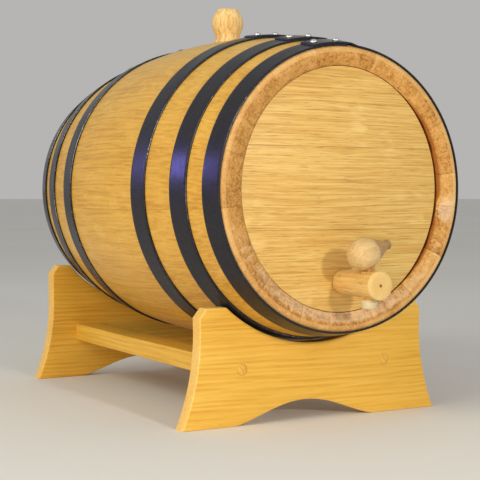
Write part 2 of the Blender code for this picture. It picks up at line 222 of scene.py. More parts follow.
def wood(name, colours, rings=(3.4, 0.3), streaks=0.5, pores=0.4, flecks=0.0,
         rough=(0.34, 0.5), bump=0.35, coat=0.0, blotch=0.25, shades=0.1,
         neck_shade=False, fine=1.0):
    """Sawn wood. The grain attribute gives (across, along, deep) in metres, and tone a shade.

    Each share says how far that feature moves the colour; rings also gives their period in mm."""
    material, tree, shader = new_material(name)
    grain = attribute(tree, "grain", "Vector")
    tone = attribute(tree, "tone", "Fac")
    wander = add(tree, "TexNoise", {
        "Vector": scaled(tree, grain, (16.0, 3.0, 16.0)), "Scale": 1.0, "Detail": 2.0,
    }).outputs["Color"]
    shift = add(tree, "VectorMath", {0: wander, 1: (0.5, 0.5, 0.5)}, operation="SUBTRACT")
    shift = scaled(tree, shift.outputs[0], (0.012, 0.0, 0.012))
    bent = add(tree, "VectorMath", {0: grain, 1: shift}, operation="ADD").outputs[0]

    streak = blob(tree, bent, (420.0 * fine, 9.0 * fine, 420.0 * fine), 5.0, 0.62)
    broad = blob(tree, bent, (38.0, 5.0, 38.0), 2.0)
    patch = blob(tree, grain, (9.0, 6.0, 9.0), 1.0)
    split = add(tree, "SeparateXYZ", {0: bent})
    across = calc(tree, "ADD", split.outputs[0], calc(tree, "MULTIPLY", split.outputs[2], 0.55))
    turn = calc(tree, "MULTIPLY", across, 1000.0 / rings[0])
    turn = calc(tree, "ADD", turn, calc(tree, "MULTIPLY", broad, 2.6))
    phase = calc(tree, "FRACT", turn)
    ring = ramp(tree, phase, ((0.0, (0.15,) * 3), (0.72, (1.0,) * 3), (1.0, (0.15,) * 3)))
    pore = blob(tree, bent, (1300.0, 60.0, 1300.0), 1.0)
    pore = span(tree, pore, 0.57, 0.68)
    pore = calc(tree, "MULTIPLY", pore, span(tree, ring, 0.2, 0.9, 0.35, 1.0))

    line = span(tree, streak, 0.34, 0.66)
    value = calc(tree, "MULTIPLY", calc(tree, "SUBTRACT", line, 0.5), streaks)
    shares = ((ring, 0.55, -rings[1]), (broad, 0.5, blotch * 2.0), (patch, 0.5, blotch * 1.6))
    for part, middle, share in shares:
        value = calc(tree, "ADD", value, calc(tree, "MULTIPLY", calc(tree, "SUBTRACT", part, middle), share))
    value = calc(tree, "ADD", value, calc(tree, "MULTIPLY", tone, shades))
    value = calc(tree, "ADD", value, 0.5, clamp=True)
    colour = ramp(tree, value, tuple(zip((0.0, 0.5, 1.0), colours)))
    dark = [0.45 * c for c in colours[0]]
    colour = blend(tree, calc(tree, "MULTIPLY", pore, pores), colour, dark)
    if flecks:
        wave = blob(tree, bent, (120.0, 48.0, 60.0), 1.5, 0.5, 0.2)
        where = span(tree, blob(tree, grain, (13.0, 7.0, 13.0), 1.0), 0.45, 0.6)
        mark = calc(tree, "MULTIPLY", calc(tree, "MULTIPLY", span(tree, wave, 0.5, 0.72), where), flecks)
        pale = [min(1.0, 1.1 * c + 0.03) for c in colours[2]]
        colour = blend(tree, mark, colour, pale)
    # Darkens the handle's neck, past its ball, as painted shade.
    if neck_shade:
        colour = blend(tree, attribute(tree, "wear_and_painted_light", "Fac"), colour, (0.66, 0.56, 0.5), "MULTIPLY")
    gloss = span(tree, calc(tree, "ADD", calc(tree, "MULTIPLY", pore, 0.6), streak), 0.3, 1.2, *rough)
    height = calc(tree, "SUBTRACT", calc(tree, "MULTIPLY", streak, 0.5), pore)
    set_surface(tree, shader, colour, gloss, height, bump)
    shader.inputs["Specular IOR Level"].default_value = 0.2
    if coat:
        shader.inputs["Coat Weight"].default_value = coat
        shader.inputs["Coat Roughness"].default_value = 0.3
    return material


def rough_grain(name, colours, speck, rough=0.75, bump=0.6, scale=700.0, dark_pits=0.0, pale_and_painted_light=0.0):
    """Cut end grain or a tooled bevel: short specks, soft blotches and a rough surface."""
    material, tree, shader = new_material(name)
    grain = attribute(tree, "grain", "Vector")
    tone = attribute(tree, "tone", "Fac")
    fine = blob(tree, grain, (scale, scale, scale), 3.0, 0.65)
    lines = blob(tree, grain, (scale * 0.35, scale * 0.05, scale * 0.35), 3.0, 0.6)
    soft = blob(tree, grain, (45.0, 45.0, 45.0), 2.0)
    value = calc(tree, "MULTIPLY", calc(tree, "SUBTRACT", fine, 0.5), speck * 2.0)
    value = calc(tree, "ADD", value, calc(tree, "MULTIPLY", calc(tree, "SUBTRACT", lines, 0.5), speck))
    value = calc(tree, "ADD", value, calc(tree, "MULTIPLY", calc(tree, "SUBTRACT", soft, 0.5), 0.8))
    value = calc(tree, "ADD", value, calc(tree, "MULTIPLY", tone, 0.14))
    value = calc(tree, "ADD", value, 0.5, clamp=True)
    colour = ramp(tree, value, tuple(zip((0.0, 0.5, 1.0), colours)))
    # Near-black pits, set into the croze's painted shade.
    if dark_pits:
        pits = span(tree, blob(tree, grain, (260.0, 260.0, 260.0), 2.0, 0.6), 0.6, 0.72)
        colour = blend(tree, calc(tree, "MULTIPLY", pits, dark_pits), colour, (0.06, 0.018, 0.004))
    if pale_and_painted_light:
        wear_and_painted_light = attribute(tree, "wear_and_painted_light", "Fac")
        # Below zero, at the croze on the right, the bevel is darkened as painted shade.
        colour = blend(tree, span(tree, wear_and_painted_light, -0.15, -0.9), colour, (0.30, 0.095, 0.01))
        # Paler where the attribute is high: the painted highlight on the front end, and on the bevel its
        # paler bottom.
        wear_and_light_level = span(tree, calc(tree, "ADD", wear_and_painted_light, calc(tree, "MULTIPLY", lines, 0.9)), 0.6, 1.1)
        colour = blend(tree, calc(tree, "MULTIPLY", wear_and_light_level, pale_and_painted_light), colour, (0.93, 0.80, 0.60))
    gloss = span(tree, fine, 0.2, 0.8, rough - 0.12, rough + 0.1)
    set_surface(tree, shader, colour, gloss, fine, bump, 0.0004)
    shader.inputs["Specular IOR Level"].default_value = 0.2
    return material


def paint():
    """Gloss black paint over rolled steel strip, rubbed through along its edges."""
    material, tree, shader = new_material("hoop_paint")
    grain = attribute(tree, "grain", "Vector")
    wear_and_painted_light = attribute(tree, "wear_and_painted_light", "Fac")
    mill = blob(tree, grain, (60.0, 900.0, 60.0), 3.0, 0.6)
    speck = blob(tree, grain, (700.0, 700.0, 700.0), 2.0, 0.6)
    dull = blob(tree, grain, (30.0, 60.0, 30.0), 2.0)
    rub = calc(tree, "ADD", wear_and_painted_light, calc(tree, "MULTIPLY", calc(tree, "SUBTRACT", speck, 0.5), 0.9))
    bare = span(tree, rub, 0.72, 1.05)
    black = ramp(tree, speck, ((0.3, (0.011, 0.011, 0.014)), (0.75, (0.027, 0.027, 0.034))))
    steel = ramp(tree, mill, ((0.2, (0.16, 0.165, 0.18)), (0.8, (0.42, 0.43, 0.46))))
    colour = blend(tree, bare, black, steel)
    rough = span(tree, dull, 0.3, 0.7, 0.24, 0.36)
    height = calc(tree, "ADD", calc(tree, "MULTIPLY", speck, 0.35), calc(tree, "MULTIPLY", mill, 0.25))
    set_surface(tree, shader, colour, rough, height, 0.25, 0.0002)
    tree.links.new(calc(tree, "MULTIPLY", bare, 0.95), shader.inputs["Metallic"])
    shader.inputs["Specular IOR Level"].default_value = 0.17
    shader.inputs["Coat Weight"].default_value = 0.04
    shader.inputs["Coat Roughness"].default_value = 0.16
    return material


def steel(name, colours, rough):
    """Bare steel with fine turning marks and small dull spots."""
    material, tree, shader = new_material(name)
    grain = attribute(tree, "grain", "Vector")
    mark = blob(tree, grain, (1500.0, 1500.0, 1500.0), 3.0, 0.6)
    spot = blob(tree, grain, (260.0, 260.0, 260.0), 2.0, 0.5)
    colour = ramp(tree, spot, ((0.3, colours[0]), (0.65, colours[1])))
    gloss = span(tree, spot, 0.3, 0.7, rough + 0.12, rough - 0.06)
    set_surface(tree, shader, colour, gloss, mark, 0.2, 0.0001)
    shader.inputs["Metallic"].default_value = 1.0
    return material


STAVE = wood("stave_oak", ((0.42, 0.19, 0.022), (0.65, 0.37, 0.06), (0.77, 0.49, 0.115)),
             rings=(3.2, 0.12), streaks=0.34, pores=0.2, flecks=0.25, rough=(0.36, 0.5), bump=0.2, coat=0.1,
             blotch=0.16)
HEAD = wood("head_oak", ((0.50, 0.265, 0.06), (0.67, 0.435, 0.125), (0.80, 0.60, 0.24)),
            rings=(2.6, 0.14), streaks=0.5, pores=0.4, flecks=0.4, rough=(0.38, 0.54), bump=0.3, coat=0.04,
            blotch=0.12, fine=1.5)
BOARD = wood("stand_wood", ((0.52, 0.235, 0.02), (0.74, 0.435, 0.06), (0.85, 0.56, 0.125)),
             rings=(4.6, 0.22), streaks=0.3, pores=0.12, rough=(0.4, 0.55), bump=0.2, coat=0.05)
BOARD_EDGE = wood("stand_edge", ((0.62, 0.33, 0.06), (0.82, 0.52, 0.14), (0.9, 0.66, 0.26)),
                  rings=(5.0, 0.05), streaks=0.25, pores=0.1, rough=(0.5, 0.62), bump=0.25)
PLUG = wood("plug_wood", ((0.52, 0.24, 0.03), (0.74, 0.42, 0.07), (0.84, 0.55, 0.13)),
            rings=(2.5, 0.3), streaks=0.4, pores=0.3, rough=(0.45, 0.6), bump=0.3)
BUNG = wood("bung_oak", ((0.52, 0.29, 0.09), (0.77, 0.52, 0.2), (0.88, 0.68, 0.34)),
            rings=(3.0, 0.06), streaks=0.6, pores=0.45, rough=(0.5, 0.66), bump=0.4)
TURNED = wood("spigot_wood", ((0.42, 0.20, 0.05), (0.66, 0.41, 0.13), (0.77, 0.55, 0.23)),
              rings=(2.6, 0.08), streaks=0.5, pores=0.3, rough=(0.4, 0.55), bump=0.3, coat=0.04)
# The handle's neck is darkened as painted shade.
HANDLE = wood("handle_wood", ((0.44, 0.26, 0.09), (0.63, 0.44, 0.20), (0.76, 0.60, 0.34)),
              rings=(2.8, 0.06), streaks=0.35, pores=0.12, rough=(0.42, 0.58), bump=0.2, coat=0.03,
              neck_shade=True)
TURNED_END = rough_grain("spigot_end", ((0.50, 0.28, 0.08), (0.69, 0.46, 0.16), (0.80, 0.60, 0.28)),
                         0.3, rough=0.6, bump=0.35)
# Dark rough grain at the handle's tip; it also colours the spigot's front hole dark as painted shade.
DARK_END = rough_grain("handle_tip", ((0.2, 0.11, 0.05), (0.38, 0.23, 0.11), (0.5, 0.33, 0.17)),
                       0.4, rough=0.65, bump=0.4)
# The key's lower end is coloured pale greenish white as a painted highlight.
KEY_END_HIGHLIGHT = rough_grain("key_end_painted_highlight", ((0.42, 0.32, 0.16), (0.64, 0.56, 0.35), (0.78, 0.72, 0.52)),
                      0.3, rough=0.5, bump=0.3)
# Both take the painted highlight; the bevel also takes its paler bottom and the croze's painted shade.
END_GRAIN = rough_grain("chime_end", ((0.40, 0.19, 0.05), (0.63, 0.37, 0.13), (0.76, 0.52, 0.24)),
                        0.5, rough=0.72, bump=0.4, pale_and_painted_light=0.15)
BEVEL = rough_grain("chime_bevel", ((0.26, 0.10, 0.015), (0.55, 0.285, 0.075), (0.70, 0.42, 0.15)),
                    0.85, rough=0.74, bump=0.8, scale=420.0, pale_and_painted_light=0.3)
# The croze wall is coloured near black as painted shade, with darker pits.
CROZE_SHADE = rough_grain("croze", ((0.07, 0.018, 0.002), (0.20, 0.062, 0.007), (0.32, 0.12, 0.018)),
                    0.5, rough=0.6, bump=0.7, dark_pits=0.9)
INSIDE = rough_grain("inside_oak", ((0.10, 0.03, 0.01), (0.2, 0.075, 0.02), (0.3, 0.14, 0.05)),
                     0.4, rough=0.8, bump=0.5)
PAINT = paint()
RIVET = steel("rivet_steel", ((0.62, 0.63, 0.66), (0.88, 0.88, 0.9)), 0.34)
SCREW = steel("screw_steel", ((0.3, 0.3, 0.32), (0.5, 0.5, 0.52)), 0.4)

# ---------------------------------------------------------------- meshes


def make(name, rings, materials, kinds=None, caps=(0, 0), place=None, sharp=38.0):
    """A solid through equal rings of points in mm. kinds gives each strip's material index."""
    points = np.array([[tuple(p) for p in ring] for ring in rings], float) * MM
    count, size = points.shape[:2]
    faces, slots = [], []
    for i in range(count - 1):
        a, b = i * size, (i + 1) * size
        for j in range(size):
            k = (j + 1) % size
            faces.append((a + j, a + k, b + k, b + j))
            slots.append(0 if kinds is None else int(kinds(i, j)))
    faces.append(tuple(range(size)))
    faces.append(tuple(range((count - 1) * size, count * size)))
    slots.extend(caps)
    mesh = bpy.data.meshes.new(name)
    mesh.from_pydata(points.reshape(-1, 3).tolist(), [], faces)
    for material in materials:
        mesh.materials.append(material)
    mesh.polygons.foreach_set("material_index", slots)
    work = bmesh.new()
    work.from_mesh(mesh)
    bmesh.ops.recalc_face_normals(work, faces=work.faces)
    work.to_mesh(mesh)
    work.free()
    if place is not None:
        move = place.copy()
        move.translation *= MM
        mesh.transform(move)
    mesh.shade_smooth()
    mesh.polygons[-1].use_smooth = mesh.polygons[-2].use_smooth = False
    mesh.set_sharp_from_angle(angle=math.radians(sharp))
    obj = bpy.data.objects.new(name, mesh)
    bpy.context.scene.collection.objects.link(obj)
    return obj


def cut(obj, *tools):
    """Cuts closed shapes out of a mesh, and keeps the result as its mesh."""
    for tool in tools:
        modifier = obj.modifiers.new("cut", "BOOLEAN")
        modifier.solver = "EXACT"
        modifier.object = tool
    graph = bpy.context.evaluated_depsgraph_get()
    mesh = bpy.data.meshes.new_from_object(obj.evaluated_get(graph))
    obj.modifiers.clear()
    obj.data = mesh
    for tool in tools:
        bpy.data.objects.remove(tool)
    mesh.set_sharp_from_angle(angle=math.radians(38.0))


def plank():
    """A place in the endless grain, and a shade, for the pieces cut from one plank."""
    return random.uniform(0.0, 9.0, 3), random.uniform(-1.0, 1.0)


def dress(obj, node, body, grain, wear_and_painted_light=None, origin=CENTRE, source=None):
    """Stores the grain, tone and the wear and painted light that the materials read, and hands the piece to
    its body.
    """
    mesh = obj.data
    mesh.transform(Matrix.Translation(origin))
    points = np.empty(len(mesh.vertices) * 3)
    mesh.vertices.foreach_get("co", points)
    points = points.reshape(-1, 3) - np.array(origin)
    offset, tone = source or plank()
    values = np.stack(grain(*points.T), axis=1) + offset
    mesh.attributes.new("grain", "FLOAT_VECTOR", "POINT").data.foreach_set("vector", values.ravel())
    shade = mesh.attributes.new("tone", "FLOAT", "POINT")
    shade.data.foreach_set("value", np.full(len(points), tone))
    if wear_and_painted_light is not None:
        mesh.attributes.new("wear_and_painted_light", "FLOAT", "POINT").data.foreach_set("value", wear_and_painted_light)
    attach(obj, body)
    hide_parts(node)
    return obj


def smooth_profile(points, steps=5):
    """A Catmull-Rom curve through (along, radius) points."""
    p = [points[0], *points, points[-1]]
    result = []
    for a, b, c, d in zip(p, p[1:], p[2:], p[3:]):
        for i in range(steps):
            t = i / steps
            result.append(tuple(
                0.5 * (2 * b[k] + (c[k] - a[k]) * t + (2 * a[k] - 5 * b[k] + 4 * c[k] - d[k]) * t ** 2
                       + (3 * b[k] - a[k] - 3 * c[k] + d[k]) * t ** 3)
                for k in (0, 1)))
    return result + [points[-1]]


def turned(profile, segments=72, wobble=0.0, seed=0.0):
    rings = []
    for along, radius in profile:
        ring = []
        for i in range(segments):
            a = 2 * math.pi * i / segments
            grow = 1.0 + wobble * noise.noise((math.cos(a), math.sin(a) + seed, along * 0.05))
            ring.append((radius * grow * math.cos(a), radius * grow * math.sin(a), along))
        rings.append(ring)
    return rings


def facing(x, y, z, sign):
    """Carries +Z onto +Y or -Y, by sign, from a point."""
    return Matrix.Translation((x, y, z)) @ Matrix.Rotation(math.radians(-90.0 * sign), 4, "X")


# ---------------------------------------------------------------- staves

EASE = ((0.0, 0.22), (0.3, 0.06), (0.8, 0.0))  # distance in from a joint, and drop
JOINT_GAP = 0.06
CHIME_FLAT_RADIUS = 118.4
CROZE_SPAN = (192.7, 199.3)
STAVE_THICK = 20.0


def stave_columns(first, last):
    """(angle in degrees from the top, drop) of each line of points across a stave."""
    per_mm = math.degrees(1.0 / 140.0)
    columns = [(first + (d + JOINT_GAP) * per_mm, drop) for d, drop in EASE]
    inner = np.linspace(first, last, 2 + round((last - first) / 1.25))[2:-2]
    columns += [(a, 0.0) for a in inner]
    columns += [(last - (d + JOINT_GAP) * per_mm, drop) for d, drop in reversed(EASE)]
    return columns


def shy(angle):
    """0 where the head fits its croze tightly, to 1 on the right, where the croze opens and shows as a dark
    line: real shadow in the gap, with painted shade on the bevel's edge.
    """
    return min(1.0, 3.0 * max(0.0, math.cos(angle + 0.05) - 0.5))


def stave_section(angle):
    """The section along the barrel as (y, radius, kind); kinds are outside, end, bevel and inside."""
    reach = HALF_LENGTH - 2.5
    outer = [(y, wood_radius(y), 0) for y in np.linspace(-reach, reach, 56)]
    edge = head_reach(angle)
    lip = edge + 0.1 + shy(angle) * (1.9 + 0.8 * noise.noise((angle * 9.0, 0.0, 2.0)))
    end = [(HALF_LENGTH - 1.2, END_RADIUS - 0.75, 1), (HALF_LENGTH - 0.35, END_RADIUS - 1.7, 1),
           (HALF_LENGTH, END_RADIUS - 2.8, 1), (HALF_LENGTH, END_RADIUS - 4.9, 1)]
    for back, t in ((0.1, 0.0), (0.6, 0.08), (1.8, 0.38), (3.2, 0.74), (4.6, 1.0)):
        radius = CHIME_FLAT_RADIUS + (lip + 0.3 - CHIME_FLAT_RADIUS) * t
        end.append((HALF_LENGTH - back, radius, 2))
    far, near = CROZE_SPAN
    end += [(HEAD_FACE - 0.2, lip, 3), (near, lip, 3), (near, edge + 5.0, 3), (far, edge + 5.0, 3),
            (far, lip, 3)]
    inside = [(y, wood_radius(y) - STAVE_THICK, 4) for y in np.linspace(171.0, -171.0, 15)]
    mirrored = [(-y, r, kind) for y, r, kind in reversed(end)]
    return outer + end + inside + mirrored


def build_stave(node, first, last):
    rings, wear_and_painted_light = [], []
    for angle, drop in stave_columns(first * FACET, last * FACET):
        a = math.radians(90.0 - angle)
        for y, radius, kind in stave_section(a):
            if kind == 0:
                radius -= drop
            elif kind == 1:
                radius -= drop * 0.8
                y = math.copysign(abs(y) - drop * 0.5, y)
            elif kind == 2:
                tool = noise.noise((radius * 0.35, angle * 0.45, math.copysign(5.0, y)))
                y = math.copysign(abs(y) - 0.2 - 0.3 * tool - drop * 2.0, y)
            rings.append((radius * math.cos(a), y, radius * math.sin(a)))
            # A patch just below level on the right of the front end is made pale as a painted highlight.
            wear_and_light_level = math.exp(-((angle - 99.0) / 5.0) ** 2) if y < 0.0 else 0.0
            if kind in (2, 3):
                # The lower bevel is made paler towards the bottom, and the bevel's inner edge at the croze
                # on the right is darkened as painted shade.
                wear_and_light_level += 0.55 * max(0.0, -math.sin(a))
                wear_and_light_level -= 1.4 * shy(a) * min(1.0, (HALF_LENGTH - abs(y)) / 4.4) ** 4
            wear_and_painted_light.append(wear_and_light_level)
    size = len(stave_section(0.0))
    kinds = [kind for _, _, kind in stave_section(0.0)]
    rings = [rings[i:i + size] for i in range(0, len(rings), size)]

    def strip(_, j):
        return min(kinds[j], kinds[(j + 1) % size]) if kinds[j] == 0 else kinds[j]

    obj = make("oak_" + node, rings, [STAVE, END_GRAIN, BEVEL, CROZE_SHADE, INSIDE], strip, sharp=32.0)
    if node == "stave_bung":
        hole = make("tool", turned(((110.0, 10.5), (151.0, 12.5), (170.0, 13.4)), 48), [INSIDE],
                    place=Matrix.Translation((0.0, BUNG_Y, 0.0)))
        cut(obj, hole)
        wear_and_painted_light = np.zeros(len(obj.data.vertices))
    middle = math.radians(90.0 - (first + last) * FACET / 2)

    def grain(x, y, z):
        radius = np.hypot(x, z)
        angle = (np.arctan2(z, x) - middle + math.pi) % (2 * math.pi) - math.pi
        return 0.125 * angle, y, radius

    dress(obj, node, "barrel", grain, wear_and_painted_light)


def build_staves():
    build_stave("stave_bung", -2, 2)
    line = 2
    for number, width in enumerate(STAVES_RIGHT, 1):
        build_stave("stave_right_{}".format(number), line, line + width)
        line += width
    line = -2
    for number, width in enumerate(STAVES_LEFT, 1):
        build_stave("stave_left_{}".format(number), line - width, line)
        line -= width


# ---------------------------------------------------------------- heads


def head_outline(radius, low, high, steps=40):
    tall = radius * HEAD_OVAL
    start = -math.pi / 2 if low is None else math.asin(low / tall)
    stop = math.pi / 2 if high is None else math.asin(high / tall)
    angles = np.linspace(start, stop, steps)
    right = [(radius * math.cos(a), tall * math.sin(a)) for a in angles]
    left = [(-x, z) for x, z in reversed(right)]
    if low is None:
        left.pop()
    if high is None:
        left.pop(0)
    return right + left


def build_head(end, side):
    gap = 0.06
    source = plank()
    lower_joint, upper_joint = HEAD_JOINTS
    bounds = (("bottom", None, lower_joint - gap), ("middle", lower_joint + gap, upper_joint - gap),
              ("top", upper_joint + gap, None))
    steps = (
        (HEAD_FACE, 0.7, 0.14, 0), (HEAD_FACE - 0.15, 0.3, 0.04, 0), (HEAD_FACE - 0.6, 0.0, 0.0, 0),
        (HEAD_FACE - 4.0, 0.0, 0.0, 1), (HEAD_FACE - 4.4, -4.0, 0.0, 1), (HEAD_FACE - 9.6, -4.0, 0.0, 1),
        (HEAD_FACE - 10.0, 0.0, 0.0, 1), (HEAD_FACE - 14.0, 0.8, 0.2, 1),
    )
    for word, low, high in bounds:
        rings = []
        for y, inset, ease, _ in steps:
            lower = None if low is None else low + ease
            upper = None if high is None else high - ease
            rings.append([(x, side * y, z) for x, z in head_outline(HEAD_RADIUS - inset, lower, upper)])
        node = "head_{}_{}".format(end, word)
        obj = make("oak_" + node, rings, [HEAD, INSIDE], lambda i, _: steps[i][3], caps=(0, 1), sharp=28.0)
        if node == "head_front_bottom":
            hole = turned(((-30.0, 8.6), (0.3, 10.6), (8.0, 11.2)), 48)
            cut(obj, make("tool", hole, [INSIDE], place=facing(0.0, -HEAD_FACE, -SPIGOT_DROP, -1.0)))
        dress(obj, node, "barrel", lambda x, y, z: (z, x, y), source=source)


# ---------------------------------------------------------------- hoops and rivets


def build_hoop(node, kind, side):
    near, far = HOOPS[kind]
    lap = LAP_ANGLE[kind]
    begin = LAP_CENTRE[kind][side > 0] - lap / 2
    lift = HOOP_THICK + LAP_GAP
    foot, crest = LAP_RAMP
    turns = list(np.linspace(0.0, 350.0, 211)) + [352.0, 353.5, foot, 356.0, 357.0, 358.0, crest, 359.2]
    turns += list(np.linspace(360.0, 359.5 + lap, 12)) + [360.0 + lap]
    width = far - near
    outline = [(0.0, 0.0), (0.0, 1.1), (0.15, 1.42), (0.5, 1.6), (2.5, 1.6)]
    outline += [(w, 1.6) for w in np.linspace(2.5, width - 2.5, 6)[1:-1]]
    outline += [(width - 2.5, 1.6), (width - 0.5, 1.6), (width - 0.15, 1.42), (width, 1.1), (width, 0.0)]
    outline += [(w, 0.0) for w in np.linspace(width, 0.0, 5)[1:-1]]
    rings = []
    for turn in turns:
        a = math.radians(begin + turn)
        rise = lift * min(1.0, max(0.0, (turn - foot) / (crest - foot)))
        beat = 0.05 * noise.noise((math.cos(a) * 3.0, math.sin(a) * 3.0, near * side * 0.1))
        ring = []
        for w, out in outline:
            radius = wood_radius(near) + (wood_radius(far) - wood_radius(near)) * w / width + HOOP_FIT
            thin = 0.35 if turn == turns[-1] else 1.0
            radius = radius * HOOP_CLEAR + rise + out * thin + (beat if out else 0.0) - 0.08
            ring.append((radius * math.cos(a), side * (near + w), radius * math.sin(a)))
        rings.append(ring)
    obj = make("steel_" + node, rings, [PAINT], sharp=50.0)
    shares = {(0.0, 1.1): 0.8, (0.15, 1.42): 1.0, (0.5, 1.6): 0.35, (0.0, 0.0): 0.4}
    edge = np.array([shares.get((min(w, width - w), out), 0.0) for w, out in outline])
    wear_and_light_level = [0.85 + 0.5 * noise.noise((math.cos(a) * 2.5, math.sin(a) * 2.5, near))
            for a in np.radians(turns)]
    wear_and_painted_light = np.outer(wear_and_light_level, edge).ravel()
    dress(obj, node, "barrel",
          lambda x, y, z: (0.135 * np.arctan2(z, x), y, np.hypot(x, z)), wear_and_painted_light)


def rivet_place(kind, side, offset):
    near, far = HOOPS[kind]
    a = math.radians(LAP_CENTRE[kind][side > 0] + offset)
    inner = ((wood_radius(near) + wood_radius(far)) / 2 + HOOP_FIT) * HOOP_CLEAR
    slope = math.atan2(wood_radius(near) - wood_radius(far), far - near)
    place = Matrix.Translation((inner * math.cos(a), side * (near + far) / 2, inner * math.sin(a)))
    around = Matrix.Rotation(a, 4, "Y").inverted()
    lean = Matrix.Rotation(math.radians(90.0), 4, "Y")
    return place @ around @ lean @ Matrix.Rotation(-side * slope, 4, "X")


def build_hoops():
    top = 2 * HOOP_THICK + LAP_GAP
    dome = [(0.4, 1.45), (top, 1.45), (top + 0.05, RIVET_HEAD - 0.05), (top + 0.25, RIVET_HEAD)]
    for i in range(1, 9):
        a = math.radians(90.0 * i / 8)
        dome.append((top + 0.25 + RIVET_RISE * math.sin(a), max(0.2, RIVET_HEAD * math.cos(a))))
    for end, side in (("front", -1.0), ("rear", 1.0)):
        for kind in HOOPS:
            build_hoop("hoop_{}_{}".format(end, kind), kind, side)
            spread = RIVET_SPREAD[kind]
            for number, offset in ((1, spread), (2, -spread)):
                node = "rivet_{}_{}_{}".format(end, kind, number)
                obj = make("steel_" + node, turned(dome, 32, 0.03, number), [RIVET],
                           place=rivet_place(kind, side, offset))
                dress(obj, node, "barrel", lambda x, y, z: (x, y, z))


# ---------------------------------------------------------------- bung and spigot


def build_bung():
    points = ((153.2, 14.0), (155.2, 13.2), (157.5, 12.7), (160.5, 13.0), (164.0, 14.3),
              (168.5, 15.9), (173.0, 16.4), (177.5, 15.7), (181.5, 14.0), (184.3, 12.2))
    profile = [(118.0, 10.6), (151.1, 12.2), (151.35, 13.6), (152.0, 14.0)] + smooth_profile(points, 5)
    profile += [(185.4, 11.5), (186.3, 10.8), (186.8, 10.1), (187.0, 9.2), (187.0, 4.0), (186.9, 0.3)]
    obj = make("turned_bung", turned(profile, 80, 0.006), [BUNG],
               place=Matrix.Translation((0.0, BUNG_Y, 0.0)))
    dress(obj, "bung", "bung", lambda x, y, z: (x, z, y))


def build_spigot():
    place = facing(0.0, -HEAD_FACE, -SPIGOT_DROP, -1.0)
    profile = [(-36.0, 7.4), (-34.8, 8.5), (0.3, 10.3), (0.5, 10.6), (3.0, 11.0), (20.0, 11.6),
               (35.0, 12.15), (SPIGOT_OUT - 3.0, 12.85), (SPIGOT_OUT - 1.6, 12.75),
               (SPIGOT_OUT - 0.5, 12.3), (SPIGOT_OUT, 11.4)]
    edge = len(profile) - 3
    profile += [(SPIGOT_OUT, 8.0), (SPIGOT_OUT, 4.5), (SPIGOT_OUT, 1.5), (SPIGOT_OUT - 0.5, 1.1),
                (SPIGOT_OUT - 2.5, 0.5)]
    # The small centre hole in its front is coloured dark as painted shade.
    body = make("turned_spigot_body", turned(profile, 80, 0.006), [TURNED, TURNED_END, DARK_END],
                lambda i, _: 0 if i < edge else (1 if i < len(profile) - 3 else 2), caps=(1, 2), place=place)
    bore = make("tool", turned(((-41.0, SPIGOT_BORE), (KEY_OUT - 2.0, SPIGOT_BORE)), 32), [INSIDE],
                place=place)
    grow = 0.9 / (KEY_ABOVE + KEY_BELOW)
    at_key = Matrix.Translation((0.0, KEY_Y, -SPIGOT_DROP))
    taper = [(z, 7.1 + grow * (KEY_BELOW + z)) for z in (-20.0, 20.0)]
    socket = make("tool2", turned(taper, 48), [INSIDE], place=at_key)
    cut(body, bore, socket)
    dress(body, "spigot_body", "barrel", lambda x, y, z: (x, y, z))

    profile = [(-KEY_BELOW, 6.0), (-KEY_BELOW + 0.4, 6.6), (-KEY_BELOW + 1.0, 6.9), (-13.2, 7.1),
               (KEY_ABOVE - 0.2, 7.8), (KEY_ABOVE, 7.6), (KEY_ABOVE, 4.6), (KEY_ABOVE + 11.0, 4.6)]
    # Its lowest strips and bottom cap take the painted highlight.
    key = make("turned_key", turned(profile, 64), [TURNED, KEY_END_HIGHLIGHT],
               lambda i, _: 1 if i < 3 else 0, caps=(1, 0), place=at_key)
    down = make("tool", turned(((-KEY_BELOW - 5.0, SPIGOT_BORE), (2.8, SPIGOT_BORE)), 32), [INSIDE],
                place=at_key)
    across = make("tool2", turned(((-0.5, 3.3), (15.0, 3.3)), 32), [INSIDE],
                  place=at_key @ Matrix.Rotation(math.radians(-90.0), 4, "Y"))
    cut(key, down, across)
    dress(key, "spigot_key", "key", lambda x, y, z: (x, z, y))

    points = ((-20.7, 3.0), (-20.3, 5.2), (-19.2, 7.6), (-17.0, 10.2), (-12.6, 13.1), (-7.0, 14.0),
              (-1.5, 13.2), (3.5, 11.2), (8.0, 8.8), (12.0, 6.7), (15.0, 5.2), (17.0, 4.45))
    profile = smooth_profile(points, 4)
    tip = len(profile)
    profile += [(17.8, 4.3), (18.8, 4.45), (19.8, 4.5), (20.7, 4.3), (21.4, 3.8), (21.8, 2.6)]
    lean = Matrix.Translation((0.0, KEY_Y, HANDLE_RISE - SPIGOT_DROP))
    lean = lean @ Matrix.Rotation(math.radians(90.0 - HANDLE_TILT), 4, "Y")
    handle = make("turned_handle", turned(profile, 72, 0.008), [HANDLE, DARK_END],
                  lambda i, _: 1 if i >= tip - 1 else 0, caps=(0, 1), place=lean)
    mortise = make("tool", turned(((7.6, 4.8), (23.9, 4.8)), 40), [INSIDE], place=at_key)
    cut(handle, mortise)
    tilt = math.radians(HANDLE_TILT)

    def along(x, y, z):
        rise = z + (SPIGOT_DROP - HANDLE_RISE) * MM
        return y, x * math.cos(tilt) + rise * math.sin(tilt), rise * math.cos(tilt) - x * math.sin(tilt)

    # Painted shade on the handle's neck: none up to 1 mm along its axis, full from 5 mm on.
    reach = [along(*v.co)[1] for v in handle.data.vertices]
    dark = [min(1.0, max(0.0, (r / MM - 1.0) / 4.0)) for r in reach]
    dress(handle, "spigot_handle", "key", along, dark)


# ---------------------------------------------------------------- stand


